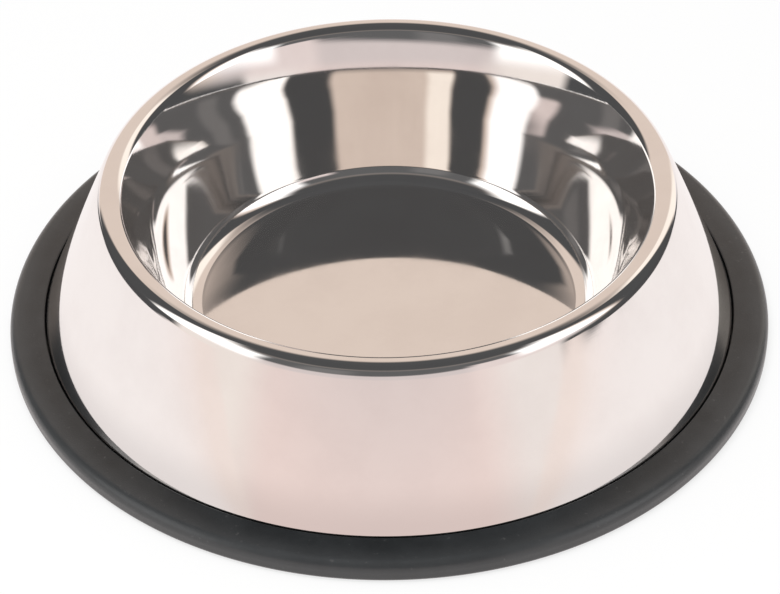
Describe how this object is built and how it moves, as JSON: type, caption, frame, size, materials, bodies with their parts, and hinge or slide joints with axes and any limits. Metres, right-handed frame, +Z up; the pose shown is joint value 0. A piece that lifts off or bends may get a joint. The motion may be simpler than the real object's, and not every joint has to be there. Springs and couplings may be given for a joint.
{
  "type": "pet bowl",
  "caption": "Round polished steel pet bowl with a rounded rim and a wide conical skirt, standing in a removable black rubber non-skid ring.",
  "frame": {"origin": "on the bowl's axis, at the level of the surface that the ring stands on", "axes": "+Z up along the axis of symmetry; the object is round, so X and Y are free, and the picture looks along +Y"},
  "size_m": [0.23, 0.23, 0.0511],
  "materials": {
    "polished_steel": "mirror polished stainless steel",
    "black_rubber": "matte moulded rubber"
  },
  "bodies": {
    "ring": {"rubber_ring": "black_rubber"},
    "bowl": {"steel_bowl": "polished_steel"}
  },
  "joints": [
    {"name": "bowl_lift", "type": "slide", "parent": "ring", "child": "bowl", "axis": [0, 0, 1], "range_m": [0, 0.035]}
  ]
}
